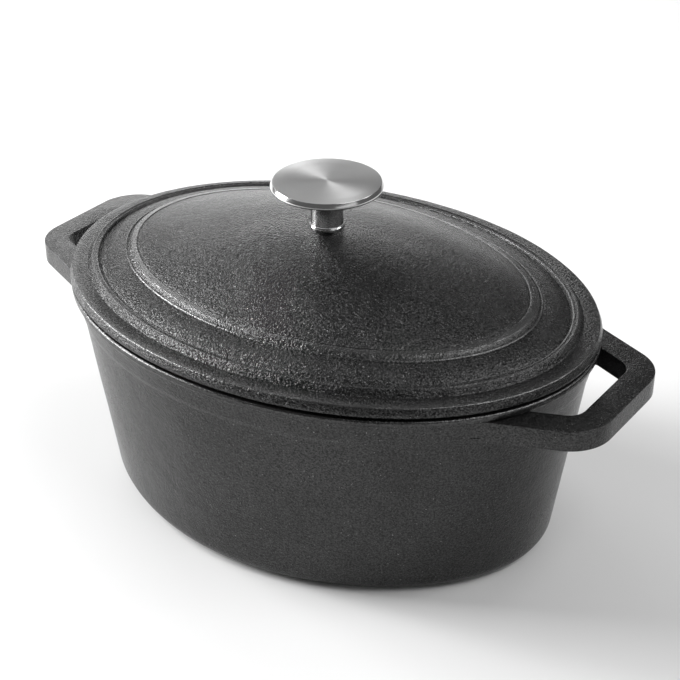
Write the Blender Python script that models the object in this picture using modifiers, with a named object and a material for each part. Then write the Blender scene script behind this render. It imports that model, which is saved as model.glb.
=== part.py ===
"""Oval cast iron dutch oven with a lift-off lid and a screwed-on steel knob.

Metres, +Z up, +X along the long axis of the oval towards one loop handle.
The origin is the centre of the flat base.  Every round or oval piece starts as
a turned profile (radius, height); ovalise() then draws it out along X.
"""
import bmesh
import bpy
from math import atan2, ceil, cos, hypot, pi, radians, sin, tan
from mathutils import Matrix, Vector

# ---------------------------------------------------------------- pot casting
POT_HEIGHT = 0.1161          # base to the land that the lid rests on
RIM_HALF_WIDTH = 0.1106      # outer wall at the rim, short way (Y)
RIM_STRETCH = 0.0370         # how much longer than wide the half oval is there
WALL_DRAFT = 0.0117          # how much narrower the half oval is at the base
STRETCH_DRAFT = 0.0041
BASE_EASE = 0.024            # flattening of the base oval between its axes
WALL = 0.0042
FLOOR = 0.0052
BASE_ROUND = 0.0105          # outside radius between wall and base
FLOOR_ROUND = 0.0140         # inside radius between wall and floor
LIP_PROUD = 0.0013           # rounded lip round the rim
LIP_HEIGHT = 0.0030
BELT_PROUD = 0.0006          # faint thicker belt under the rim
BELT_DEPTH = 0.0183          # rim down to the belt's lower edge
EDGE_ROUND = 0.0010
POT_STEPS = 72

# --------------------------------------------------------------- loop handles
HANDLE_PROUD = 0.0289        # rim's long end to the outside of the loop's bar
HANDLE_DROP = 0.0053         # rim down to the loop's flat top
HANDLE_THICKNESS = 0.0110
HANDLE_BAR = 0.0140          # width of the flat bar, seen from above
HANDLE_CORNER_Y = 0.0364     # where bar and arm lines would cross
HANDLE_ARM_SPLAY = radians(22.5)
HANDLE_CORNER_ROUND = 0.0240
HANDLE_ROOT_ROUND = 0.0150   # flare where an arm runs out into the wall
HANDLE_ROOT_LENGTH = 0.0100
HANDLE_EDGE_ROUND = 0.0012

# ---------------------------------------------------------------- lid casting
SEAT_GAP = 0.0003            # clearance between pieces that rest on each other
LID_OVERHANG = 0.0024        # lid's widest line outside the pot's wall
LID_EDGE = 0.0050            # height of the rounded outer edge
LID_LAND_INSET = 0.0020      # widest line in to the flat underside
LID_THICKNESS = 0.0045
FLANGE_RISE = 0.0004         # from the edge to the bead's outer foot
BEAD_OUTER = 0.0094          # distances in from the lid's widest line
BEAD_CREST = 0.0125
BEAD_INNER = 0.0158
BEAD_HEIGHT = 0.0031
BEAD_SHOULDER = 0.0013       # crest out or in to where the bead starts to fall
BEAD_SHOULDER_DROP = 0.0005
BAND_STEP = 0.0021           # inner foot of the bead above its outer foot
BAND_RISE = 0.0052           # from the bead's inner foot to the inner ring
BAND_CROWN = 0.0003
RING_OUTER = 0.0308
RING_INNER = 0.0345
RING_STEP = 0.0019
RING_SHOULDER = 0.0012
DOME_RISE = 0.0212           # from the inner ring to the knob's seat
DOME_POWER = 1.6
RIB_CLEARANCE = 0.0004       # lid's locating rib to the pot's wall, at the rib's lower edge
RIB_WIDTH = 0.0028
RIB_DEPTH = 0.0050
RIB_ROOT = 0.0012            # height at which the rib runs into the lid
LID_STEPS = 72

# ---------------------------------------------------------- knob and fastener
KNOB_SEAT_RADIUS = 0.0120    # flat pad on both sides of the lid's centre
KNOB_HEIGHT = 0.0256
DISC_RADIUS = 0.0290
DISC_FACE_INSET = 0.0010     # polished bevel round the brushed face
DISC_THICKNESS = 0.0035
DISC_BEVEL = 0.0022
DISC_CROWN = 0.0003
DISC_EDGE_ROUND = 0.0004
STEM_FOOT_RADIUS = 0.0089
STEM_FOOT_HEIGHT = 0.0022
STEM_FOOT_ROUND = 0.0006
STEM_WAIST_RADIUS = 0.0083
STEM_WAIST_HEIGHT = 0.0060
STEM_TOP_RADIUS = 0.0125
STEM_FLARE_POWER = 2.4
INSERT_RADIUS = 0.0052
INSERT_LENGTH = 0.0120
SCREW_RADIUS = 0.0029
SCREW_SHORT = 0.0004         # screw's tip below the insert's top
SCREW_TIP_ROUND = 0.0007
SCREW_HEAD_RADIUS = 0.0056
SCREW_HEAD_HEIGHT = 0.0034
SCREW_HEAD_ROUND = 0.0016
SCREW_SLOT = 0.0012
RUN_CLEARANCE = 0.0003       # radial gap round the screw
FLAT_WASHER_RADIUS = 0.0075
FLAT_WASHER_THICKNESS = 0.0010
LOCK_WASHER_RADIUS = 0.0053
LOCK_WASHER_THICKNESS = 0.0014
LOCK_WASHER_CUT = 0.0012
LOCK_WASHER_SLANT = radians(25)
KNOB_STEPS = 48
SMALL_STEPS = 32

# ------------------------------------------------------------- worked-out sizes
BASE_HALF_WIDTH = RIM_HALF_WIDTH - WALL_DRAFT
BASE_STRETCH = RIM_STRETCH - STRETCH_DRAFT
BELT_BOTTOM = POT_HEIGHT - BELT_DEPTH
HANDLE_REACH = RIM_HALF_WIDTH + RIM_STRETCH + HANDLE_PROUD
HANDLE_TOP = POT_HEIGHT - HANDLE_DROP
LID_HALF_WIDTH = RIM_HALF_WIDTH + LID_OVERHANG
LID_STRETCH = RIM_STRETCH
SEAT_Z = POT_HEIGHT + SEAT_GAP
LID_TOP_EDGE_Z = SEAT_Z + LID_EDGE
BEAD_FOOT_Z = LID_TOP_EDGE_Z + FLANGE_RISE
BAND_START_Z = BEAD_FOOT_Z + BAND_STEP
BAND_END_Z = BAND_START_Z + BAND_RISE
DOME_START_Z = BAND_END_Z + RING_STEP
KNOB_SEAT_Z = DOME_START_Z + DOME_RISE
LID_UNDER_Z = KNOB_SEAT_Z - LID_THICKNESS
STEM_FOOT_Z = KNOB_SEAT_Z + SEAT_GAP
DISC_TOP_Z = STEM_FOOT_Z + KNOB_HEIGHT
DISC_UNDER_Z = DISC_TOP_Z - DISC_THICKNESS
INSERT_LOW_Z = STEM_FOOT_Z + SEAT_GAP
INSERT_TOP_Z = INSERT_LOW_Z + INSERT_LENGTH
BORE_RADIUS = SCREW_RADIUS + RUN_CLEARANCE
MERGE = 0.00001


# ------------------------------------------------------------------- helpers
def clear_scene():
    for obj in list(bpy.data.objects):
        bpy.data.objects.remove(obj, do_unlink=True)


def new_collection(name):
    collection = bpy.data.collections.new(name)
    bpy.context.scene.collection.children.link(collection)
    return collection


def principled(name, color, roughness, metallic):
    material = bpy.data.materials.new(name)
    material.use_nodes = True
    shader = material.node_tree.nodes["Principled BSDF"]
    shader.inputs["Base Color"].default_value = (*color, 1.0)
    shader.inputs["Roughness"].default_value = roughness
    shader.inputs["Metallic"].default_value = metallic
    return material


def rounded(corners, step=radians(22.5)):
    """Points along a path of corners (x, y) or (x, y, radius), each turned as an arc."""
    points = []
    for index, corner in enumerate(corners):
        here = Vector(corner[:2])
        radius = corner[2] if len(corner) > 2 else 0.0
        if radius == 0.0 or index in (0, len(corners) - 1):
            points.append(here)
            continue
        back = (Vector(corners[index - 1][:2]) - here)
        ahead = (Vector(corners[index + 1][:2]) - here)
        half = back.angle(ahead) / 2
        reach = min(radius / tan(half), 0.49 * back.length, 0.49 * ahead.length)
        radius = reach * tan(half)
        back.normalize()
        ahead.normalize()
        centre = here + (back + ahead).normalized() * hypot(radius, reach)
        start = here + back * reach - centre
        sweep = start.angle_signed(here + ahead * reach - centre)
        count = max(2, ceil(abs(sweep) / step))
        points += [centre + Matrix.Rotation(-sweep * i / count, 2) @ start for i in range(count + 1)]
    return points


def shade(mesh):
    mesh.shade_smooth()
    mesh.set_sharp_from_angle(angle=radians(35))


def bake(obj):
    """Replace an object by the plain mesh that its modifiers or curve settings give."""
    evaluated = obj.evaluated_get(bpy.context.evaluated_depsgraph_get())
    mesh = bpy.data.meshes.new_from_object(evaluated)
    mesh.name = obj.name
    name, matrix, collection = obj.name, obj.matrix_world.copy(), obj.users_collection[0]
    bpy.data.objects.remove(obj, do_unlink=True)
    baked = bpy.data.objects.new(name, mesh)
    baked.matrix_world = matrix
    collection.objects.link(baked)
    bpy.context.view_layer.update()
    return baked


def turned(name, profile, steps, collection, closed=False):
    """Turn a (radius, height) profile about Z; closed profiles make a ring."""
    mesh = bpy.data.meshes.new(name)
    edges = [(i, i + 1) for i in range(len(profile) - 1)]
    if closed:
        edges.append((len(profile) - 1, 0))
    mesh.from_pydata([(x, 0.0, z) for x, z in profile], edges, [])
    obj = bpy.data.objects.new(name, mesh)
    collection.objects.link(obj)
    screw = obj.modifiers.new("turn", "SCREW")
    screw.steps = steps
    screw.render_steps = steps
    screw.use_merge_vertices = True
    screw.merge_threshold = MERGE
    return bake(obj)


def flat_plate(name, outline, low, high, collection):
    """A closed outline (x, y) filled and given its thickness between two heights."""
    curve = bpy.data.curves.new(name, "CURVE")
    curve.dimensions = "2D"
    curve.fill_mode = "BOTH"
    curve.extrude = (high - low) / 2
    spline = curve.splines.new("POLY")
    spline.points.add(len(outline) - 1)
    for point, (x, y) in zip(spline.points, outline):
        point.co = (x, y, 0.0, 1.0)
    spline.use_cyclic_u = True
    obj = bpy.data.objects.new(name, curve)
    obj.location.z = (low + high) / 2
    collection.objects.link(obj)
    bpy.context.view_layer.update()
    plate = bake(obj)
    weld(plate)
    return plate


def weld(obj):
    """Join a curve's loose caps to its sides, and its flat triangles into whole faces."""
    bm = bmesh.new()
    bm.from_mesh(obj.data)
    bmesh.ops.remove_doubles(bm, verts=bm.verts, dist=MERGE)
    bmesh.ops.recalc_face_normals(bm, faces=bm.faces)
    bmesh.ops.dissolve_limit(bm, angle_limit=radians(0.5), verts=bm.verts, edges=bm.edges)
    bm.to_mesh(obj.data)
    bm.free()


def boolean(obj, other, operation):
    modifier = obj.modifiers.new(operation.lower(), "BOOLEAN")
    modifier.operation = operation
    modifier.solver = "EXACT"
    modifier.object = other
    other.hide_render = True
    other.display_type = "WIRE"


# ------------------------------------------------------------- the oval rules
def at_height(base, rim, z):
    return base + (rim - base) * z / POT_HEIGHT


def wall_radius(z):
    return at_height(BASE_HALF_WIDTH, RIM_HALF_WIDTH, z)


def pot_stretch(z):
    return at_height(BASE_STRETCH, RIM_STRETCH, z)


def pot_ease(z):
    return at_height(BASE_EASE, 0.0, min(z, POT_HEIGHT))


def oval_point(angle, radius, stretch, ease):
    scale = 1 - ease * sin(2 * angle) ** 2
    return (radius + stretch) * cos(angle) * scale, radius * sin(angle) * scale


def ovalise(obj, stretch_at, ease_at, inner, outer):
    """Draw a turned piece out along X: not at all inside inner, fully from outer on."""
    for vertex in obj.data.vertices:
        x, y, z = vertex.co
        radius = hypot(x, y)
        share = min(1.0, max(0.0, (radius - inner) / (outer - inner)))
        vertex.co.x, vertex.co.y = oval_point(atan2(y, x), radius, stretch_at(z) * share, ease_at(z))


# ------------------------------------------------------------------ the pieces
def pot_profile():
    lip = RIM_HALF_WIDTH + LIP_PROUD
    lip_bottom = POT_HEIGHT - LIP_HEIGHT
    belt_step = BELT_BOTTOM + 2 * BELT_PROUD
    corners = [
        (0.0, FLOOR),
        (wall_radius(FLOOR) - WALL, FLOOR, FLOOR_ROUND),
        (RIM_HALF_WIDTH - WALL, POT_HEIGHT, EDGE_ROUND),
        (lip, POT_HEIGHT, EDGE_ROUND),
        (lip, lip_bottom, EDGE_ROUND),
        (wall_radius(lip_bottom) + BELT_PROUD, lip_bottom - LIP_PROUD),
        (wall_radius(belt_step) + BELT_PROUD, belt_step),
        (wall_radius(BELT_BOTTOM), BELT_BOTTOM),
        (BASE_HALF_WIDTH, 0.0, BASE_ROUND),
        (0.0, 0.0),
    ]
    return rounded(corners)


def handle_outline():
    """One loop handle from above: a flat bar with two splayed arms that end inside the wall."""
    mid_z = HANDLE_TOP - HANDLE_THICKNESS / 2
    stretch, ease = pot_stretch(mid_z), pot_ease(mid_z)
    outer_wall = wall_radius(mid_z) + BELT_PROUD
    mid_wall = outer_wall - (WALL + BELT_PROUD) / 2

    def corner(inset):
        return HANDLE_REACH - inset, HANDLE_CORNER_Y - inset * tan((pi / 2 - HANDLE_ARM_SPLAY) / 2)

    def wall_meets_arm(inset, radius):
        start, slope = corner(inset), tan(HANDLE_ARM_SPLAY)
        low, high = 0.0, pi / 2
        for _ in range(40):
            angle = (low + high) / 2
            x, y = oval_point(angle, radius, stretch, ease)
            if y < start[1] + (start[0] - x) * slope:
                low = angle
            else:
                high = angle
        return angle

    outer_angle = wall_meets_arm(0.0, outer_wall)
    inner_angle = wall_meets_arm(HANDLE_BAR, mid_wall)
    outer_root = oval_point(outer_angle, outer_wall, stretch, ease)
    root_angle = outer_angle + HANDLE_ROOT_LENGTH / outer_wall
    end_angle = root_angle + HANDLE_ROOT_LENGTH / outer_wall
    half = [
        (HANDLE_REACH, 0.0),
        (*corner(0.0), HANDLE_CORNER_ROUND),
        (*outer_root, HANDLE_ROOT_ROUND),
        oval_point(root_angle, outer_wall, stretch, ease),
        oval_point(end_angle, mid_wall, stretch, ease),
    ]
    steps = 5
    half += [oval_point(end_angle + (inner_angle - end_angle) * i / steps, mid_wall, stretch, ease)
             for i in range(1, steps + 1)]
    half += [(*corner(HANDLE_BAR), HANDLE_CORNER_ROUND - HANDLE_BAR), (HANDLE_REACH - HANDLE_BAR, 0.0)]
    points = rounded(half, radians(12))
    return points[1:-1] + [(x, -y) for x, y in reversed(points[1:-1])]


def make_pot(parts, cutters, iron):
    pot = turned("pot", pot_profile(), POT_STEPS, parts)
    ovalise(pot, pot_stretch, pot_ease, 0.0, wall_radius(FLOOR) - WALL - FLOOR_ROUND)
    handles = flat_plate("handle_stock", handle_outline(), HANDLE_TOP - HANDLE_THICKNESS, HANDLE_TOP, cutters)
    edge = handles.modifiers.new("edge", "BEVEL")
    edge.width = HANDLE_EDGE_ROUND
    edge.segments = 2
    edge.limit_method = "ANGLE"
    edge.angle_limit = radians(60)
    mirror = handles.modifiers.new("both ends", "MIRROR")
    mirror.use_axis = (True, False, False)
    mirror.merge_threshold = MERGE
    boolean(pot, handles, "UNION")
    pot = bake(pot)
    finish_piece(pot, iron)


def lid_profile():
    """Closed section of the lid between the screw hole and its rounded edge."""
    widest = LID_HALF_WIDTH
    edge_round = 0.49 * LID_EDGE
    dome_foot = widest - RING_INNER
    rib_bottom = SEAT_Z - RIB_DEPTH
    wall_narrowing = LID_STRETCH - pot_stretch(rib_bottom)
    rib_outer = wall_radius(rib_bottom) - wall_narrowing - WALL - RIB_CLEARANCE
    rib_inner = rib_outer - RIB_WIDTH

    def dome(radius):
        share = max(0.0, radius - KNOB_SEAT_RADIUS) / (dome_foot - KNOB_SEAT_RADIUS)
        return KNOB_SEAT_Z - DOME_RISE * share ** DOME_POWER

    dome_steps = 7
    radii = [KNOB_SEAT_RADIUS + (dome_foot - KNOB_SEAT_RADIUS) * i / dome_steps for i in range(dome_steps + 1)]
    top = [(BORE_RADIUS, KNOB_SEAT_Z)] + [(radius, dome(radius)) for radius in radii]
    ring = [
        (widest - RING_OUTER - RING_SHOULDER, BAND_END_Z + RING_SHOULDER),
        (widest - RING_OUTER, BAND_END_Z),
    ]
    band_middle = (widest - (RING_OUTER + BEAD_INNER) / 2, (BAND_START_Z + BAND_END_Z) / 2 + BAND_CROWN)
    crest_z = BEAD_FOOT_Z + BEAD_HEIGHT
    bead = [
        (widest - BEAD_INNER, BAND_START_Z),
        (widest - BEAD_CREST - BEAD_SHOULDER, crest_z - BEAD_SHOULDER_DROP),
        (widest - BEAD_CREST, crest_z),
        (widest - BEAD_CREST + BEAD_SHOULDER, crest_z - BEAD_SHOULDER_DROP),
        (widest - BEAD_OUTER, BEAD_FOOT_Z),
    ]
    edge = rounded([
        bead[-1],
        (widest, LID_TOP_EDGE_Z, edge_round),
        (widest, SEAT_Z, edge_round),
        (widest - LID_LAND_INSET, SEAT_Z),
    ], radians(30))[1:]
    rib = [
        (rib_outer, SEAT_Z),
        (rib_outer, rib_bottom),
        (rib_inner, rib_bottom),
        (rib_inner - RIB_WIDTH, SEAT_Z + RIB_ROOT),
    ]
    under_band = [
        (widest - BEAD_INNER, BAND_START_Z - LID_THICKNESS),
        (widest - RING_OUTER, BAND_END_Z - LID_THICKNESS),
    ]
    under = [(radius, dome(radius) - LID_THICKNESS) for radius in reversed(radii[:-1])]
    return top + ring + [band_middle] + bead + edge + rib + under_band + under + [(BORE_RADIUS, LID_UNDER_Z)]


def make_lid(parts, iron):
    lid = turned("lid", lid_profile(), LID_STEPS, parts, closed=True)
    ovalise(lid, lambda z: LID_STRETCH, lambda z: 0.0, KNOB_SEAT_RADIUS, LID_HALF_WIDTH - RING_INNER)
    finish_piece(lid, iron)


def make_knob_disc(parts, brushed):
    face = DISC_RADIUS - DISC_FACE_INSET
    crown = [(face * i / 3, DISC_TOP_Z + DISC_CROWN * (1 - (i / 3) ** 2)) for i in range(3)]
    edge = rounded([
        (face, DISC_TOP_Z),
        (DISC_RADIUS, DISC_TOP_Z - DISC_BEVEL, DISC_EDGE_ROUND),
        (DISC_RADIUS, DISC_UNDER_Z, DISC_EDGE_ROUND),
        (0.0, DISC_UNDER_Z),
    ])
    disc = turned("knob_disc", crown + edge, KNOB_STEPS, parts)
    finish_piece(disc, brushed)


def make_knob_stem(parts, polished):
    """Trumpet-shaped stem, bored from below for the threaded insert."""
    top = DISC_UNDER_Z - SEAT_GAP
    waist_z = STEM_FOOT_Z + STEM_WAIST_HEIGHT
    bore = INSERT_RADIUS + RUN_CLEARANCE
    bore_top = INSERT_TOP_Z + SEAT_GAP
    flare_steps = 6
    flare = []
    for i in range(flare_steps + 1):
        share = 1 - i / flare_steps
        radius = STEM_WAIST_RADIUS + (STEM_TOP_RADIUS - STEM_WAIST_RADIUS) * share ** STEM_FLARE_POWER
        flare.append((radius, waist_z + (top - waist_z) * share))
    foot = rounded([
        (STEM_WAIST_RADIUS, STEM_FOOT_Z + STEM_FOOT_HEIGHT),
        (STEM_FOOT_RADIUS, STEM_FOOT_Z + STEM_FOOT_HEIGHT - STEM_FOOT_ROUND),
        (STEM_FOOT_RADIUS, STEM_FOOT_Z, STEM_FOOT_ROUND),
        (bore, STEM_FOOT_Z),
    ])
    profile = [(0.0, top)] + flare + foot + [
        (bore, bore_top),
        (0.0, bore_top),
    ]
    stem = turned("knob_stem", profile, KNOB_STEPS, parts)
    finish_piece(stem, polished)


def make_knob_insert(parts, brass):
    """Threaded bush inside the stem; its bore is modelled plain."""
    profile = [
        (BORE_RADIUS, INSERT_TOP_Z),
        (INSERT_RADIUS, INSERT_TOP_Z),
        (INSERT_RADIUS, INSERT_LOW_Z),
        (BORE_RADIUS, INSERT_LOW_Z),
    ]
    insert = turned("knob_insert", profile, SMALL_STEPS, parts, closed=True)
    finish_piece(insert, brass)


def washer_profile(radius, top, thickness):
    return [(BORE_RADIUS, top), (radius, top), (radius, top - thickness), (BORE_RADIUS, top - thickness)]


def make_flat_washer(parts, steel):
    top = LID_UNDER_Z - SEAT_GAP
    washer = turned("flat_washer", washer_profile(FLAT_WASHER_RADIUS, top, FLAT_WASHER_THICKNESS),
                    SMALL_STEPS, parts, closed=True)
    finish_piece(washer, steel)
    return top - FLAT_WASHER_THICKNESS


def make_lock_washer(parts, cutters, steel, above):
    """Spring washer: a ring with one slanted cut through it."""
    top = above - SEAT_GAP
    washer = turned("lock_washer", washer_profile(LOCK_WASHER_RADIUS, top, LOCK_WASHER_THICKNESS),
                    SMALL_STEPS, parts, closed=True)
    bpy.ops.mesh.primitive_cube_add(size=1.0)
    cutter = bpy.context.object
    cutter.name = "lock_washer_cut"
    cutter.scale = (LOCK_WASHER_RADIUS * 2, LOCK_WASHER_CUT, LOCK_WASHER_THICKNESS * 3)
    cutter.location = (LOCK_WASHER_RADIUS, 0.0, top - LOCK_WASHER_THICKNESS / 2)
    cutter.rotation_euler.x = LOCK_WASHER_SLANT
    move_to(cutter, cutters)
    boolean(washer, cutter, "DIFFERENCE")
    finish_piece(washer, steel)
    return top - LOCK_WASHER_THICKNESS


def make_knob_screw(parts, cutters, steel, above):
    """Pan head screw put in from below, with a slot across its head."""
    head_top = above - SEAT_GAP
    head_bottom = head_top - SCREW_HEAD_HEIGHT
    tip = INSERT_TOP_Z - SCREW_SHORT
    corners = [
        (0.0, tip),
        (SCREW_RADIUS, tip, SCREW_TIP_ROUND),
        (SCREW_RADIUS, head_top),
        (SCREW_HEAD_RADIUS, head_top),
        (SCREW_HEAD_RADIUS, head_bottom, SCREW_HEAD_ROUND),
        (0.0, head_bottom),
    ]
    screw = turned("knob_screw", rounded(corners), SMALL_STEPS, parts)
    bpy.ops.mesh.primitive_cube_add(size=1.0)
    cutter = bpy.context.object
    cutter.name = "screw_slot"
    cutter.scale = (SCREW_HEAD_RADIUS * 3, SCREW_SLOT, SCREW_HEAD_HEIGHT)
    cutter.location = (0.0, 0.0, head_bottom)
    move_to(cutter, cutters)
    boolean(screw, cutter, "DIFFERENCE")
    finish_piece(screw, steel)


def move_to(obj, collection):
    for owner in list(obj.users_collection):
        owner.objects.unlink(obj)
    collection.objects.link(obj)


def finish_piece(obj, material):
    obj.data.materials.clear()
    obj.data.materials.append(material)
    shade(obj.data)


def main():
    clear_scene()
    parts = new_collection("dutch_oven")
    cutters = new_collection("cutters")
    iron = principled("seasoned_iron", (0.025, 0.025, 0.026), 0.55, 0.6)
    lid_iron = principled("seasoned_iron_lid", (0.024, 0.024, 0.025), 0.52, 0.6)
    brushed = principled("brushed_steel", (0.62, 0.61, 0.60), 0.32, 1.0)
    polished = principled("polished_steel", (0.72, 0.71, 0.70), 0.12, 1.0)
    brass = principled("insert_brass", (0.70, 0.55, 0.28), 0.35, 1.0)
    zinc = principled("screw_steel", (0.60, 0.60, 0.61), 0.30, 1.0)

    make_pot(parts, cutters, iron)
    make_lid(parts, lid_iron)
    make_knob_disc(parts, brushed)
    make_knob_stem(parts, polished)
    make_knob_insert(parts, brass)
    flat_under = make_flat_washer(parts, zinc)
    lock_under = make_lock_washer(parts, cutters, zinc, flat_under)
    make_knob_screw(parts, cutters, zinc, lock_under)


main()
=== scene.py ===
"""Looks of an oval cast iron dutch oven: fine castings, a turned steel knob and a soft studio.

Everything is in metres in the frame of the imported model: +Z up, +X along the
oval towards one loop handle, origin at the centre of the base.
"""
from math import ceil, cos, hypot, pi, radians, sin, tan

import bmesh
import bpy
from mathutils import Matrix, Vector, noise


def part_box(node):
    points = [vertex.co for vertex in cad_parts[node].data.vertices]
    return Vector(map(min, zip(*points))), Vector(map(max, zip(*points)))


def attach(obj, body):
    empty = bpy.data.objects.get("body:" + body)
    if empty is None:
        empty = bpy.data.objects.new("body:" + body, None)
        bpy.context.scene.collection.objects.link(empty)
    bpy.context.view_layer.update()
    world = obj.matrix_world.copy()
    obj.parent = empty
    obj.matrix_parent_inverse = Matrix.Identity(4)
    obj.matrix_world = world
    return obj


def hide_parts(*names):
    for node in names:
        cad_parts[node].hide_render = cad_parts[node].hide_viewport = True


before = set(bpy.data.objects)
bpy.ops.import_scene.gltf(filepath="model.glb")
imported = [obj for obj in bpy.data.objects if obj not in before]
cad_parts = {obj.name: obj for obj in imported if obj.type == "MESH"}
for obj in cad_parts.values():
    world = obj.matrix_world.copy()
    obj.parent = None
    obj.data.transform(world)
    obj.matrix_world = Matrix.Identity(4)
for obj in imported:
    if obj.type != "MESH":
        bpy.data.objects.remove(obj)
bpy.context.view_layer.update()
POT_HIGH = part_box("pot")[1]
LID_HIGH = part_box("lid")[1]
DISC_LOW, DISC_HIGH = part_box("knob_disc")
STEM_LOW, STEM_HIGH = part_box("knob_stem")
INSERT_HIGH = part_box("knob_insert")[1]

LONGEST_STEP = 0.0035            # a casting's profile has no edge longer than this

# ---------------------------------------------------------------- pot casting
RIM_Z = POT_HIGH.z
LIP_RADIUS = POT_HIGH.y          # half width of the oval over the rolled lip
LIP_PROUD = 0.0013
RIM_RADIUS = LIP_RADIUS - LIP_PROUD
RIM_STRETCH = LID_HIGH.x - LID_HIGH.y
BASE_RADIUS = RIM_RADIUS - 0.0117
BASE_STRETCH = RIM_STRETCH - 0.0041
BASE_EASE = 0.024                # flattening of the base oval between its axes
WALL = 0.0042
FLOOR = 0.0052
BASE_ROUND = 0.0105
FLOOR_ROUND = 0.0140
LIP_HEIGHT = 0.0050
LIP_STEP = 0.0014                # the lip lies this far under the land that carries the lid
LIP_SWELL = 0.0012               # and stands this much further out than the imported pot's plain lip
LAND_EDGE = 0.0008               # the land ends this far inside the rim radius
BELT_BOTTOM = 0.0978
BELT_PROUD = 0.0006
BELT_FADE = 0.0020               # height over which the belt runs out into the wall
POT_UNEVENNESS = 0.00012
POT_SEGMENTS = 320

# --------------------------------------------------------------- loop handles
HANDLE_REACH = POT_HIGH.x
HANDLE_TOP = 0.1108
HANDLE_THICKNESS = 0.0110
HANDLE_UNDER = HANDLE_TOP - HANDLE_THICKNESS
HANDLE_MIDDLE = HANDLE_TOP - HANDLE_THICKNESS / 2
HANDLE_BAR = 0.0140
HANDLE_CORNER_Y = 0.0364
HANDLE_SPLAY = radians(22.5)
HANDLE_CORNER_ROUND = 0.0240
HANDLE_ROOT_ROUND = 0.0150
HANDLE_INNER_ROOT_ROUND = 0.0040
HANDLE_ROOT_LENGTH = 0.0100
HANDLE_EDGE_ROUND = 0.0016
HANDLE_FILLET_UNDER = 0.0050
HANDLE_FILLET_OVER = 0.0018
FILLET_BURIED = 0.0015           # how deep a root fillet is sunk into the wall and the handle

# ---------------------------------------------------------------- lid casting
LID_RADIUS = LID_HIGH.y
LID_EDGE_Z = RIM_Z + 0.0003      # underside of the lid's flange, just clear of the rim
KNOB_SEAT_Z = LID_HIGH.z
KNOB_SEAT_RADIUS = 0.0120
LID_THICKNESS = 0.0045
DOME_POWER = 1.6
DOME_FOOT_RADIUS = LID_RADIUS - 0.0345
DOME_FOOT_Z = KNOB_SEAT_Z - 0.0215
DOME_END_RADIUS = LID_RADIUS - 0.0366
RIB_DEPTH = 0.0050               # how far the locating rib hangs into the pot
RIB_CLEARANCE = 0.0004
RIB_WIDTH = 0.0028
LID_UNEVENNESS = 0.00010
LID_SEGMENTS = 360

# The lid's top outside its dome, as distance in from the lid's edge, height over the flange's underside
# and, where a corner is rounded, its radius
BAND_CURVE = ((0.0232, 0.01095), (0.0190, 0.0091), (0.0174, 0.00815), (0.0167, 0.0075), (0.0162, 0.0073))
BEAD_CURVE = ((0.0158, 0.0077), (0.0155, 0.00835), (0.0150, 0.00875), (0.0142, 0.0086), (0.0134, 0.00865),
              (0.0128, 0.0089), (0.0123, 0.0087), (0.0116, 0.0079), (0.0108, 0.0069), (0.0101, 0.0059),
              (0.0096, 0.00545), (0.0090, 0.00545))
EDGE_CORNERS = ((0.0088, 0.00545), (0.0014, 0.0050, 0.0007), (0.0, 0.0018, 0.0020), (0.0001, 0.0, 0.0013),
                (0.0024, 0.0))
# The ledge and the fine lines at the dome's foot, in the same way but with heights taken from the ledge
RING_CORNERS = ((0.0364, -0.0005, 0.0001), (0.0361, 0.0001, 0.0002), (0.0337, -0.0006, 0.0004),
                (0.0331, -0.0011, 0.0004), (0.0313, -0.0027, 0.0003), (0.0310, -0.0021, 0.0002),
                (0.0305, -0.0022, 0.0002), (0.0302, -0.0029, 0.0002), (0.0296, -0.0029))

# ---------------------------------------------------------------- iron finish
IRON_MEAN = 0.045                # reflectance of the seasoned skin
IRON_SPREAD = 0.037              # how far bright and dull grains lie from it
# colour of sparse light specks: painted glints standing in for sparkles of light off the sand
IRON_PAINTED_GLINT = (0.30, 0.30, 0.30)
# colour of the upper edges: partly rubbed seasoning, partly a painted highlight along the edge
IRON_WORN_HIGHLIT = (0.24, 0.24, 0.24)
IRON_ROUGHNESS = (0.21, 0.28)
IRON_METAL = 0.85
IRON_WAVE_DEPTH = 0.0006         # depths of the slow waves, the pebbles and the sand of the skin
IRON_PEBBLE_DEPTH = 0.00028
IRON_SAND_DEPTH = 0.00065
POT_GRAIN = 0.6                  # how strong the grain is: the pot's skin is finer than the lid's
LID_GRAIN = 1.0
WEAR_HIGHLIGHT_START = 250.0               # edges bent more sharply than this, in radians per metre, are rubbed lighter and carry a painted highlight
WEAR_HIGHLIGHT_SPAN = 1200.0               # and fully so when they are bent this much more sharply still
POT_WEAR_HIGHLIGHT_LOWEST = RIM_Z - 0.003
LID_WEAR_HIGHLIGHT_LOWEST = LID_EDGE_Z + 0.0047

# ----------------------------------------------------------------------- knob
DISC_RADIUS = DISC_HIGH.x
STEM_WAIST_RADIUS = 0.0083
STEM_FLARE = 0.0042
STEM_FOOT_RADIUS = 0.0090
SCREW_RADIUS = 0.0029
CLEARANCE = 0.0003               # left round the screw and the insert
KNOB_SEGMENTS = 192

# --------------------------------------------------------------------- camera
CAMERA_AZIMUTH = 0.6108          # radians, from the -Y side towards +X
CAMERA_ELEVATION = 0.5300
CAMERA_DISTANCE = 0.849
CAMERA_LENS = 83.03              # millimetres on a 36 mm frame
AIM_HEIGHT = 0.07
AIM_RIGHT = 0.0066               # the pot stands a little left of the picture's middle and below it
AIM_UP = 0.0126

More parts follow.
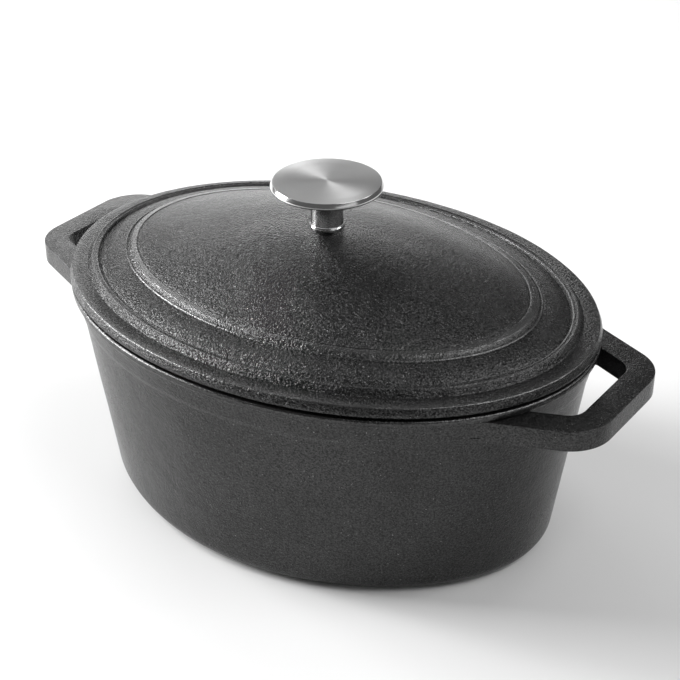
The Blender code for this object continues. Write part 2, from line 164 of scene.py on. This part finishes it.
# --------------------------------------------------------------------- lights
SOFTBOX_DISTANCE = 2.2
WORLD_STRENGTH = 0.12
SOFTBOXES = (                    # name, azimuth and elevation in degrees, width, height, power in watts
    ("low_window", 292, 20, 0.8, 0.8, 62),
    ("left_bank", 280, 36, 0.8, 0.8, 28),
    ("back_strip", 219, 11, 1.3, 0.6, 7),
    ("back_window", 238, 36, 0.8, 0.8, 7),
    ("back_right", 130, 36, 0.8, 0.8, 8),
    ("right_card", 75, 20, 1.6, 0.9, 3),
    ("top_right", 95, 55, 1.4, 1.2, 18),
    ("top_back", 160, 55, 1.0, 1.0, 3),
)


# ------------------------------------------------------------------- helpers
def rounded(corners, step=radians(9)):
    """Points along a path of corners (x, y) or (x, y, radius), each turned as an arc."""
    points = []
    for index, corner in enumerate(corners):
        here = Vector(corner[:2])
        radius = corner[2] if len(corner) > 2 else 0.0
        if radius == 0.0 or index in (0, len(corners) - 1):
            points.append(here)
            continue
        back = Vector(corners[index - 1][:2]) - here
        ahead = Vector(corners[index + 1][:2]) - here
        half = back.angle(ahead) / 2
        reach = min(radius / tan(half), 0.49 * back.length, 0.49 * ahead.length)
        radius = reach * tan(half)
        back.normalize()
        ahead.normalize()
        centre = here + (back + ahead).normalized() * hypot(radius, reach)
        start = here + back * reach - centre
        sweep = start.angle_signed(here + ahead * reach - centre)
        count = max(2, ceil(abs(sweep) / step))
        points += [centre + Matrix.Rotation(-sweep * i / count, 2) @ start for i in range(count + 1)]
    return points


def spaced(points, longest):
    """The same path with its long runs cut into shorter ones."""
    result = [Vector(points[0])]
    for point in points[1:]:
        start, run = result[-1], Vector(point) - result[-1]
        count = max(1, ceil(run.length / longest))
        result += [start + run * (i + 1) / count for i in range(count)]
    return result


def smooth_path(points, per_span=8):
    """A Catmull-Rom curve through the points."""
    points = [Vector(p) for p in points]
    points = [2 * points[0] - points[1]] + points + [2 * points[-1] - points[-2]]
    result = []
    for a, b, c, d in zip(points, points[1:], points[2:], points[3:]):
        for i in range(per_span):
            t = i / per_span
            result.append(0.5 * ((2 * b) + (c - a) * t + (2 * a - 5 * b + 4 * c - d) * t * t
                                 + (3 * b - a - 3 * c + d) * t ** 3))
    return result + [points[-2]]


def new_object(name, vertices, faces):
    """A mesh object in the scene, made from points and faces."""
    mesh = bpy.data.meshes.new(name)
    mesh.from_pydata(vertices, [], faces)
    mesh.validate()
    obj = bpy.data.objects.new(name, mesh)
    bpy.context.scene.collection.objects.link(obj)
    return obj


def lathe(name, profile, segments, place, closed=False):
    """Turn a (radius, height) profile; place(angle, radius, height) gives each point."""
    vertices, rings = [], []
    for radius, height in profile:
        if radius < 1e-6:
            rings.append([len(vertices)] * segments)
            vertices.append(place(0.0, 0.0, height))
            continue
        rings.append([len(vertices) + i for i in range(segments)])
        vertices += [place(2 * pi * i / segments, radius, height) for i in range(segments)]
    pairs = list(zip(rings, rings[1:]))
    if closed:
        pairs.append((rings[-1], rings[0]))
    faces = []
    for upper, lower in pairs:
        for i in range(segments):
            j = (i + 1) % segments
            corners = [upper[i], lower[i], lower[j], upper[j]]
            faces.append([c for k, c in enumerate(corners) if c != corners[k - 1]])
    return new_object(name, vertices, faces)


def round_place(angle, radius, height):
    return radius * cos(angle), radius * sin(angle), height


def clamped(value):
    return min(1.0, max(0.0, value))


def outward(obj):
    """Turn the faces of a closed mesh to look outwards."""
    work = bmesh.new()
    work.from_mesh(obj.data)
    bmesh.ops.recalc_face_normals(work, faces=work.faces)
    work.to_mesh(obj.data)
    work.free()


def baked(obj):
    """The same object with its modifiers applied."""
    evaluated = obj.evaluated_get(bpy.context.evaluated_depsgraph_get())
    mesh = bpy.data.meshes.new_from_object(evaluated)
    obj.modifiers.clear()
    obj.data = mesh
    return obj


def unite(obj, other):
    """Add a closed piece to another by a Boolean union; the added one is used up."""
    modifier = obj.modifiers.new("union", "BOOLEAN")
    modifier.operation = "UNION"
    modifier.solver = "EXACT"
    modifier.object = other
    bpy.context.view_layer.update()
    baked(obj)
    bpy.data.objects.remove(other, do_unlink=True)


def cast_surface(obj, amount, share):
    """Move the skin by the slow unevenness of a sand casting, as far as share(point) lets it."""
    normals = [Vector(v.normal) for v in obj.data.vertices]
    for vertex, normal in zip(obj.data.vertices, normals):
        p = vertex.co
        wave = noise.noise(p * 38) + 0.45 * noise.noise(p * 110 + Vector((3, 7, 1)))
        vertex.co = p + normal * amount * wave * share(p)


def finish_mesh(obj):
    """Shade smoothly, with sharp edges where the faces fold by more than 40 degrees."""
    obj.data.shade_smooth()
    obj.data.set_sharp_from_angle(angle=radians(40))


def mark_worn_highlit_edges(obj, lowest):
    """Store how strongly each point above a height stands out from its neighbours, to be rubbed lighter
    and given a painted highlight.
    """
    mesh = obj.data
    normals = [v.normal.copy() for v in mesh.vertices]
    bend = [0.0] * len(mesh.vertices)
    for edge in mesh.edges:
        a, b = edge.vertices
        run = mesh.vertices[b].co - mesh.vertices[a].co
        length = max(run.length, 1e-5)
        fold = (normals[b] - normals[a]).dot(run) / (length * length)
        for k in (a, b):
            bend[k] = max(bend[k], fold)
    worn_and_highlit = [clamped((value - WEAR_HIGHLIGHT_START) / WEAR_HIGHLIGHT_SPAN) if vertex.co.z > lowest else 0.0
            for value, vertex in zip(bend, mesh.vertices)]
    wear_and_highlight_layer = mesh.attributes.new("edge_wear_and_highlight", "FLOAT", "POINT")
    wear_and_highlight_layer.data.foreach_set("value", worn_and_highlit)


# ------------------------------------------------------------- the oval rules
def oval(angle, radius, stretch, ease=0.0):
    """A point of an oval that is longer than wide by the stretch, eased in between its axes."""
    scale = 1 - ease * sin(2 * angle) ** 2
    return (radius + stretch) * cos(angle) * scale, radius * sin(angle) * scale


def at_height(base, rim, z):
    """A value of the pot's wall that runs straight from the base to the rim."""
    return base + (rim - base) * z / RIM_Z


def wall_radius(z):
    return at_height(BASE_RADIUS, RIM_RADIUS, z)


def pot_place(angle, radius, height):
    full = wall_radius(FLOOR) - WALL - FLOOR_ROUND
    stretch = at_height(BASE_STRETCH, RIM_STRETCH, height) * min(1.0, radius / full)
    ease = at_height(BASE_EASE, 0.0, min(height, RIM_Z))
    return *oval(angle, radius, stretch, ease), height


def lid_place(angle, radius, height):
    share = clamped((radius - KNOB_SEAT_RADIUS) / (DOME_FOOT_RADIUS - KNOB_SEAT_RADIUS))
    return *oval(angle, radius, RIM_STRETCH * share), height


# ------------------------------------------------------------------- pot body
def pot_profile():
    """Half section of the pot, from the middle of its floor over the rim and down the outside."""
    lip_top, lip_bottom = RIM_Z - LIP_STEP, RIM_Z - LIP_HEIGHT
    lip_outside = LIP_RADIUS + LIP_SWELL
    belt_full = BELT_BOTTOM + BELT_FADE
    corners = [
        (0.0, FLOOR),
        (wall_radius(FLOOR) - WALL, FLOOR, FLOOR_ROUND),
        (RIM_RADIUS - WALL, RIM_Z, 0.0012),
        (RIM_RADIUS - LAND_EDGE, RIM_Z, 0.0004),
        (RIM_RADIUS - LAND_EDGE / 2, lip_top, 0.0003),
        (lip_outside, lip_top, 0.0019),
        (lip_outside, lip_bottom, 0.0015),
        (wall_radius(lip_bottom) + BELT_PROUD, lip_bottom - 0.0012, 0.0012),
        (wall_radius(belt_full) + BELT_PROUD, belt_full, 0.004),
        (wall_radius(BELT_BOTTOM), BELT_BOTTOM, 0.004),
        (BASE_RADIUS, 0.0, BASE_ROUND),
        (BASE_RADIUS - 0.016, 0.0),
        (0.0, 0.0),
    ]
    return spaced(rounded(corners), LONGEST_STEP)


def wall_point(angle, depth, z):
    """Where the wall is at an angle and a height, seen from above, at a depth under its skin."""
    return pot_place(angle, wall_radius(z) + BELT_PROUD - depth, z)[:2]


def handle_corner(inset):
    """Where the bar and an arm of a handle meet, along lines inset from the outer ones."""
    return HANDLE_REACH - inset, HANDLE_CORNER_Y - inset * tan((pi / 2 - HANDLE_SPLAY) / 2)


def arm_angle(inset):
    """Where along the wall an arm's side line, inset from the outer one, runs into it."""
    corner_x, corner_y = handle_corner(inset)
    low, high = 0.0, pi / 2
    for _ in range(40):
        middle = (low + high) / 2
        x, y = wall_point(middle, 0.0, HANDLE_MIDDLE)
        if y < corner_y + (corner_x - x) * tan(HANDLE_SPLAY):
            low = middle
        else:
            high = middle
    return low


def fillet_angles():
    """Where along the wall the fillets of one root start and end."""
    turn = HANDLE_ROOT_LENGTH / wall_radius(HANDLE_TOP)
    return arm_angle(0.0) + 0.3 * turn, arm_angle(HANDLE_BAR) - 0.2 * turn


def handle_outline():
    """One loop handle from above: flat bar, splayed arms and roots that run out along the wall."""
    z, deep, steps = HANDLE_MIDDLE, WALL / 2, 24
    outer_angle, inner_angle = arm_angle(0.0), arm_angle(HANDLE_BAR)
    turn = HANDLE_ROOT_LENGTH / wall_radius(z)
    first, last = outer_angle + 1.6 * turn, inner_angle - turn
    half = [
        (HANDLE_REACH, 0.0),
        (*handle_corner(0.0), HANDLE_CORNER_ROUND),
        (*wall_point(outer_angle, 0.0, z), HANDLE_ROOT_ROUND),
        wall_point(outer_angle + turn, 0.0, z),
    ]
    half += [wall_point(first + (last - first) * i / steps, deep, z) for i in range(steps + 1)]
    half += [
        (*wall_point(inner_angle - 0.7 * turn, 0.0, z), 0.0005),
        (*wall_point(inner_angle, 0.0, z), HANDLE_INNER_ROOT_ROUND),
        (*handle_corner(HANDLE_BAR), HANDLE_CORNER_ROUND - HANDLE_BAR),
        (HANDLE_REACH - HANDLE_BAR, 0.0),
    ]
    points = rounded(half, radians(5))[1:-1]
    return points + [(x, -y) for x, y in reversed(points)]


def make_handle():
    """A bevelled plate in the handle's outline, with its long straight edges cut up."""
    outline = [Vector(p) for p in handle_outline()]
    outline = spaced(outline + outline[:1], 0.004)[:-1]
    count = len(outline)
    vertices = [(x, y, HANDLE_UNDER) for x, y in outline] + [(x, y, HANDLE_TOP) for x, y in outline]
    faces = [list(reversed(range(count))), list(range(count, 2 * count))]
    faces += [[i, (i + 1) % count, count + (i + 1) % count, count + i] for i in range(count)]
    handle = new_object("handle", vertices, faces)
    outward(handle)
    edge = handle.modifiers.new("edge", "BEVEL")
    edge.width = HANDLE_EDGE_ROUND
    edge.segments = 5
    edge.limit_method = "ANGLE"
    edge.angle_limit = radians(60)
    return baked(handle)


def fillet_section(radius):
    """A hollow quarter round between wall and handle, as (distance out, rise) points round the strip."""
    arc = 6
    points = [(-FILLET_BURIED, -FILLET_BURIED), (radius, -FILLET_BURIED)]
    for k in range(arc + 1):
        turn = pi / 2 * k / arc
        points.append((radius - radius * sin(turn), radius - radius * cos(turn) - 0.00005))
    return points + [(-FILLET_BURIED, radius)]


def fillet_rings(side, level, up, size):
    """Sections of one strip along a root, on one side of the handle's top or underside."""
    outer_angle, inner_angle = fillet_angles()
    steps = 30
    rings = []
    for i in range(steps + 1):
        share = i / steps
        angle = outer_angle + (inner_angle - outer_angle) * share
        # the flared end of the root stands out from the wall only a little at first
        reach = (outer_angle - angle) * wall_radius(level)
        radius = 0.0001 + min(size, 0.42 * reach) * min(1.0, 8 * (1 - share)) ** 0.5
        section = [(out, level + up * rise) for out, rise in fillet_section(radius)]
        rings.append([(*wall_point(side * angle, -out, z), z) for out, z in section])
    return rings


def root_fillets():
    """Tapering strips that ease the two roots of one handle into the wall, over and under it."""
    vertices, faces = [], []
    strips = ((HANDLE_TOP, 1, HANDLE_FILLET_OVER), (HANDLE_UNDER, -1, HANDLE_FILLET_UNDER))
    for side in (1, -1):
        for level, up, size in strips:
            rings = fillet_rings(side, level, up, size)
            first, count = len(vertices), len(rings[0])
            vertices += [point for ring in rings for point in ring]
            last = len(vertices) - count
            for start in range(first, last, count):
                for k in range(count):
                    a, b = start + k, start + (k + 1) % count
                    faces.append([a, b, b + count, a + count])
            faces.append([first + k for k in range(count)])
            faces.append([last + k for k in reversed(range(count))])
    fillets = new_object("fillets", vertices, faces)
    outward(fillets)
    return fillets


def make_pot():
    pot = lathe("pot_casting", pot_profile(), POT_SEGMENTS, pot_place)
    cast_surface(pot, POT_UNEVENNESS, lambda p: clamped((RIM_Z - 0.004 - p.z) / 0.01))
    for side in (1, -1):
        for addition in (make_handle(), root_fillets()):
            if side < 0:
                addition.data.transform(Matrix.Rotation(pi, 4, "Z"))
            unite(pot, addition)
    finish_mesh(pot)
    mark_worn_highlit_edges(pot, POT_WEAR_HIGHLIGHT_LOWEST)
    return pot


# ----------------------------------------------------------------------- lid
def dome_height(radius):
    share = max(0.0, radius - KNOB_SEAT_RADIUS) / (DOME_FOOT_RADIUS - KNOB_SEAT_RADIUS)
    return KNOB_SEAT_Z - (KNOB_SEAT_Z - DOME_FOOT_Z) * share ** DOME_POWER


def from_edge(points, datum):
    """Points given as distance in from the lid's edge and height over a datum, as radius and height."""
    return [(LID_RADIUS - inward, datum + height, *corner) for inward, height, *corner in points]


def lid_outside(dome_radii):
    """The lid's upper side: knob seat, dome, ledge with its fine lines, band, bead and rolled edge."""
    bore = SCREW_RADIUS + CLEARANCE
    ledge_z = dome_height(DOME_END_RADIUS) - 0.0001
    dome = [(bore, KNOB_SEAT_Z), (bore + 0.004, KNOB_SEAT_Z)] + [(r, dome_height(r)) for r in dome_radii]
    ring = rounded([dome[-1]] + from_edge(RING_CORNERS, ledge_z), radians(20))
    band = smooth_path([ring[-1]] + from_edge(BAND_CURVE, LID_EDGE_Z))
    bead = smooth_path(band[-1:] + from_edge(BEAD_CURVE, LID_EDGE_Z), 6)
    edge = rounded(from_edge(EDGE_CORNERS, LID_EDGE_Z))
    return dome + ring[1:] + band[1:] + bead[1:] + edge


def lid_underside(dome_radii):
    """From the flange inwards: the rib that locates the lid in the pot, then the hollow of the dome."""
    rib_low = RIM_Z - RIB_DEPTH
    narrowing = RIM_STRETCH - at_height(BASE_STRETCH, RIM_STRETCH, rib_low)
    rib_outer = wall_radius(rib_low) - WALL - RIB_CLEARANCE - narrowing
    rib = rounded([
        (LID_RADIUS - 0.003, LID_EDGE_Z),
        (rib_outer, LID_EDGE_Z, 0.0004),
        (rib_outer, LID_EDGE_Z - RIB_DEPTH, 0.001),
        (rib_outer - RIB_WIDTH, LID_EDGE_Z - RIB_DEPTH, 0.001),
        (rib_outer - 2 * RIB_WIDTH, LID_EDGE_Z + 0.0012, 0.003),
        (LID_RADIUS - 0.0308, LID_EDGE_Z + 0.0127 - LID_THICKNESS),
    ])
    hollow = [(r, dome_height(r) - LID_THICKNESS) for r in reversed(dome_radii)]
    return rib[1:-1] + hollow + [(SCREW_RADIUS + CLEARANCE, KNOB_SEAT_Z - LID_THICKNESS)]


def make_lid():
    steps = 44
    run = DOME_END_RADIUS - KNOB_SEAT_RADIUS
    dome_radii = [KNOB_SEAT_RADIUS + run * i / steps for i in range(steps + 1)]
    section = spaced(lid_outside(dome_radii) + lid_underside(dome_radii), LONGEST_STEP)
    lid = lathe("lid_casting", section, LID_SEGMENTS, lid_place, closed=True)
    finish_mesh(lid)

    def share(p):
        """Nothing moves at the knob's seat or where the lid rests on the pot."""
        return clamped((hypot(p.x, p.y) - 0.016) / 0.02) if p.z > LID_EDGE_Z + 0.002 else 0.0

    cast_surface(lid, LID_UNEVENNESS, share)
    mark_worn_highlit_edges(lid, LID_WEAR_HIGHLIGHT_LOWEST)
    return lid


# ----------------------------------------------------------------------- knob
def make_disc():
    """The knob's disc: a faintly crowned face, a bright bevelled rim and a flat underside."""
    top, under, radius = DISC_HIGH.z, DISC_LOW.z, DISC_RADIUS
    corners = [
        (0.0, top),
        (radius - 0.0060, top - 0.00005),
        (radius - 0.0011, top - 0.0002, 0.0003),
        (radius - 0.0001, top - 0.0021, 0.0003),
        (radius, top - 0.0026, 0.0002),
        (radius - 0.0001, under + 0.0005, 0.0004),
        (radius - 0.0009, under, 0.0004),
        (radius * 0.46, under + 0.0001),
        (0.0, under),
    ]
    disc = lathe("knob_top", spaced(rounded(corners), 0.0015), KNOB_SEGMENTS, round_place)
    finish_mesh(disc)
    for polygon in disc.data.polygons:
        on_face = polygon.center.z > top - 0.00022
        polygon.material_index = 0 if on_face else 1
    return disc


def make_stem():
    """The knob's waisted stem, hollow below round the threaded insert."""
    foot, top = STEM_LOW.z, STEM_HIGH.z
    waist_z = foot + 0.0060
    insert_radius, insert_top = INSERT_HIGH.x + CLEARANCE, INSERT_HIGH.z + CLEARANCE
    steps = 30
    profile = [(0.0, top)]
    for i in range(steps + 1):
        share = 1 - i / steps
        profile.append((STEM_WAIST_RADIUS + STEM_FLARE * share ** 2.6, waist_z + (top - waist_z) * share))
    profile += rounded([
        (STEM_WAIST_RADIUS, waist_z - 0.0005),
        (STEM_WAIST_RADIUS + 0.0001, foot + 0.0024, 0.0012),
        (STEM_FOOT_RADIUS, foot + 0.0018, 0.0004),
        (STEM_FOOT_RADIUS, foot, 0.0006),
        (insert_radius, foot),
    ])[1:]
    profile += [(insert_radius, insert_top), (0.0, insert_top)]
    stem = lathe("knob_stalk", profile, KNOB_SEGMENTS, round_place)
    finish_mesh(stem)
    return stem


# ------------------------------------------------------------------ materials
class Nodes:
    """Small helper that adds and links shader nodes."""

    def __init__(self, name):
        self.material = bpy.data.materials.new(name)
        self.material.use_nodes = True
        self.tree = self.material.node_tree
        self.shader = self.tree.nodes["Principled BSDF"]
        self.place = self.add("ShaderNodeTexCoord").outputs["Object"]

    def add(self, kind, **values):
        node = self.tree.nodes.new(kind)
        for key, value in values.items():
            setattr(node, key, value)
        return node

    def link(self, source, target):
        self.tree.links.new(source, target)

    def noise(self, scale, detail=2.0, roughness=0.5, vector=None):
        node = self.add("ShaderNodeTexNoise")
        node.inputs["Scale"].default_value = scale
        node.inputs["Detail"].default_value = detail
        node.inputs["Roughness"].default_value = roughness
        self.link(vector or self.place, node.inputs["Vector"])
        return node.outputs["Fac"]

    def ranged(self, value, low, high, to_low, to_high):
        node = self.add("ShaderNodeMapRange")
        limits = {"From Min": low, "From Max": high, "To Min": to_low, "To Max": to_high}
        for key, number in limits.items():
            node.inputs[key].default_value = number
        self.link(value, node.inputs["Value"])
        return node.outputs["Result"]

    def maths(self, operation, *values):
        node = self.add("ShaderNodeMath", operation=operation)
        for socket, value in zip(node.inputs, values):
            if isinstance(value, (int, float)):
                socket.default_value = value
            else:
                self.link(value, socket)
        return node.outputs[0]

    def mixed(self, factor, first, second):
        """Mix a plain or a linked colour with a plain one."""
        node = self.add("ShaderNodeMix", data_type="RGBA")
        if isinstance(first, tuple):
            node.inputs["A"].default_value = (*first, 1)
        else:
            self.link(first, node.inputs["A"])
        node.inputs["B"].default_value = (*second, 1)
        self.link(factor, node.inputs["Factor"])
        return node.outputs["Result"]

    def attribute(self, name):
        return self.add("ShaderNodeAttribute", attribute_name=name).outputs["Fac"]

    def bump(self, height, distance, after=None):
        node = self.add("ShaderNodeBump")
        node.inputs["Strength"].default_value = 1.0
        node.inputs["Distance"].default_value = distance
        self.link(height, node.inputs["Height"])
        if after:
            self.link(after, node.inputs["Normal"])
        return node.outputs["Normal"]

    def set(self, **values):
        """Set the shader's plain inputs, named with underscores for spaces."""
        for key, value in values.items():
            self.shader.inputs[key.replace("_", " ")].default_value = value


def iron_material(name, grain):
    """Raw seasoned cast iron: nearly black, sandy grain under a millimetre with painted glints, lighter
    edges that are partly worn and partly a painted highlight.
    """
    m = Nodes(name)
    dull, bright = ((IRON_MEAN + side * IRON_SPREAD * grain,) * 3 for side in (-1, 1))
    sand = m.noise(1000, 2.0, 0.6)
    speck = m.noise(1150, 1.0, 0.5)
    pebble = m.noise(520, 2.0, 0.5)
    wave = m.noise(60, 2.0, 0.5)
    patch = m.noise(18, 3.0, 0.6)
    worn_and_highlit = m.attribute("edge_wear_and_highlight")
    # bright and dull grains side by side, over slow patches of seasoning
    grains = m.mixed(m.ranged(speck, 0.34, 0.66, 0.0, 1.0), dull, bright)
    clouded = m.mixed(m.ranged(patch, 0.40, 0.70, 0.0, 0.35), grains, dull)
    # sparse light specks over the grains are painted glints, lighter colour standing in for sparkles of
    # light
    painted_glints = m.mixed(m.ranged(sand, 0.70, 0.76, 0.0, 1.0), clouded, IRON_PAINTED_GLINT)
    # upper convex edges lighter: partly rubbed seasoning, partly a painted highlight where the edges
    # catch the light
    rubbed_and_highlit = m.mixed(m.maths("MULTIPLY", worn_and_highlit, 0.38), painted_glints, IRON_WORN_HIGHLIT)
    m.link(rubbed_and_highlit, m.shader.inputs["Base Color"])
    # the sheen varies with the patches and the grains, and the worn edges with their painted highlight
    # are smoother
    sheen = m.ranged(patch, 0.3, 0.7, *IRON_ROUGHNESS)
    sheen = m.maths("ADD", sheen, m.ranged(sand, 0.3, 0.7, -0.04, 0.04))
    sheen = m.maths("SUBTRACT", sheen, m.maths("MULTIPLY", worn_and_highlit, 0.06))
    m.link(sheen, m.shader.inputs["Roughness"])
    slow = m.bump(wave, IRON_WAVE_DEPTH)
    middle = m.bump(pebble, IRON_PEBBLE_DEPTH * grain, slow)
    smoothed = m.maths("MULTIPLY", sand, m.maths("SUBTRACT", 1.0, m.maths("MULTIPLY", worn_and_highlit, 0.5)))
    m.link(m.bump(smoothed, IRON_SAND_DEPTH * grain, middle), m.shader.inputs["Normal"])
    m.set(Metallic=IRON_METAL, IOR=1.5)
    return m.material


def turned_material(name, color, roughness, lines, anisotropic):
    """Turned steel: fine concentric tool lines round the axis and a streak that follows them."""
    m = Nodes(name)
    split = m.add("ShaderNodeSeparateXYZ")
    m.link(m.place, split.inputs[0])
    x, y, z = split.outputs
    radius = m.maths("SQRT", m.maths("ADD", m.maths("MULTIPLY", x, x), m.maths("MULTIPLY", y, y)))
    polar = m.add("ShaderNodeCombineXYZ")
    m.link(m.maths("MULTIPLY", radius, lines), polar.inputs["X"])
    m.link(m.maths("MULTIPLY", m.maths("ARCTAN2", y, x), 1.5), polar.inputs["Y"])
    m.link(m.maths("MULTIPLY", z, lines), polar.inputs["Z"])
    tool = m.noise(1.0, 3.0, 0.7, polar.outputs[0])
    smear = m.noise(55, 2.0, 0.5)
    tint = m.mixed(m.ranged(tool, 0.3, 0.7, 0.0, 1.0), tuple(0.93 * c for c in color), color)
    m.link(tint, m.shader.inputs["Base Color"])
    rough = m.maths("ADD", m.ranged(tool, 0.3, 0.7, roughness * 0.92, roughness * 1.08),
                    m.ranged(smear, 0.3, 0.7, -0.015, 0.015))
    m.link(rough, m.shader.inputs["Roughness"])
    m.link(m.bump(tool, 0.000004), m.shader.inputs["Normal"])
    tangent = m.add("ShaderNodeTangent", direction_type="RADIAL", axis="Z")
    m.link(tangent.outputs[0], m.shader.inputs["Tangent"])
    m.set(Metallic=1.0, Anisotropic=anisotropic)
    return m.material


def plated_material(name, color, roughness):
    """Plain machined metal with a faint mottle, for the small fastenings."""
    m = Nodes(name)
    mottle = m.noise(700, 2.0, 0.6)
    m.link(m.mixed(m.ranged(mottle, 0.3, 0.7, 0.0, 1.0), tuple(0.85 * c for c in color), color),
           m.shader.inputs["Base Color"])
    m.link(m.ranged(mottle, 0.3, 0.7, roughness * 0.85, roughness * 1.15), m.shader.inputs["Roughness"])
    m.link(m.bump(mottle, 0.00002), m.shader.inputs["Normal"])
    m.set(Metallic=1.0)
    return m.material


# ---------------------------------------------------------------------- stage
def make_floor():
    """A plain white floor, just under the pot."""
    bpy.ops.mesh.primitive_plane_add(size=12.0, location=(0.0, 0.0, -0.0002))
    floor = bpy.context.object
    floor.name = "floor"
    m = Nodes("floor_white")
    m.link(m.mixed(m.noise(3.0), (0.80, 0.80, 0.80), (0.82, 0.82, 0.82)), m.shader.inputs["Base Color"])
    m.set(Roughness=0.9)
    floor.data.materials.append(m.material)


def direction(azimuth, elevation):
    """Unit vector from the pot towards a place round it, both angles in radians."""
    return Vector((sin(azimuth) * cos(elevation), -cos(azimuth) * cos(elevation), sin(elevation)))


def softbox(name, azimuth, elevation, width, height, power):
    """A rectangular studio light that looks at the middle of the pot."""
    away = direction(radians(azimuth), radians(elevation))
    light = bpy.data.lights.new(name, "AREA")
    light.shape = "RECTANGLE"
    light.size, light.size_y = width, height
    light.energy = power
    obj = bpy.data.objects.new(name, light)
    obj.location = away * SOFTBOX_DISTANCE
    obj.rotation_euler = away.to_track_quat("Z", "Y").to_euler()
    obj.visible_camera = False
    bpy.context.scene.collection.objects.link(obj)


def make_lights():
    world = bpy.data.worlds.new("studio")
    world.use_nodes = True
    background = world.node_tree.nodes["Background"]
    background.inputs["Color"].default_value = (1, 1, 1, 1)
    background.inputs["Strength"].default_value = WORLD_STRENGTH
    bpy.context.scene.world = world
    for values in SOFTBOXES:
        softbox(*values)


def make_camera():
    back = direction(CAMERA_AZIMUTH, CAMERA_ELEVATION)
    right = Vector((cos(CAMERA_AZIMUTH), sin(CAMERA_AZIMUTH), 0.0))
    up = back.cross(right)
    data = bpy.data.cameras.new("camera")
    data.sensor_width = 36
    data.lens = CAMERA_LENS
    camera = bpy.data.objects.new("camera", data)
    aim = Vector((0, 0, AIM_HEIGHT)) + right * AIM_RIGHT + up * AIM_UP
    camera.location = back * CAMERA_DISTANCE + aim
    camera.rotation_euler = (-back).to_track_quat("-Z", "Y").to_euler()
    bpy.context.scene.collection.objects.link(camera)
    bpy.context.scene.camera = camera


# ------------------------------------------------------------------- assembly
def add_piece(piece, body, node, slot, *finishes):
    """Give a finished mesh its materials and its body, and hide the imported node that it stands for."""
    for finish in finishes:
        piece.data.materials.append(finish)
    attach(piece, body)
    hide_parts(node)


def dress_node(node, finish):
    """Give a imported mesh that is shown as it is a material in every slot."""
    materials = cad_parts[node].data.materials
    for index in range(len(materials)):
        materials[index] = finish


def main():
    bpy.context.scene.view_settings.view_transform = "Standard"
    pot_iron = iron_material("pot_iron", POT_GRAIN)
    lid_iron = iron_material("lid_iron", LID_GRAIN)
    brushed = turned_material("knob_brushed", (0.50, 0.50, 0.50), 0.42, 2600, 0.65)
    polished = turned_material("knob_polished", (0.66, 0.66, 0.66), 0.14, 1800, 0.4)
    add_piece(make_pot(), "pot", "pot", "pot_iron", pot_iron)
    add_piece(make_lid(), "lid", "lid", "lid_iron", lid_iron)
    add_piece(make_disc(), "lid", "knob_disc", "knob_brushed", brushed, polished)
    add_piece(make_stem(), "lid", "knob_stem", "knob_polished", polished)
    dress_node("knob_insert", plated_material("insert_brass", (0.62, 0.47, 0.24), 0.32))
    fastener = plated_material("fastener_steel", (0.46, 0.46, 0.47), 0.34)
    for node in ("knob_screw", "flat_washer", "lock_washer"):
        dress_node(node, fastener)
    make_floor()
    make_lights()
    make_camera()


main()
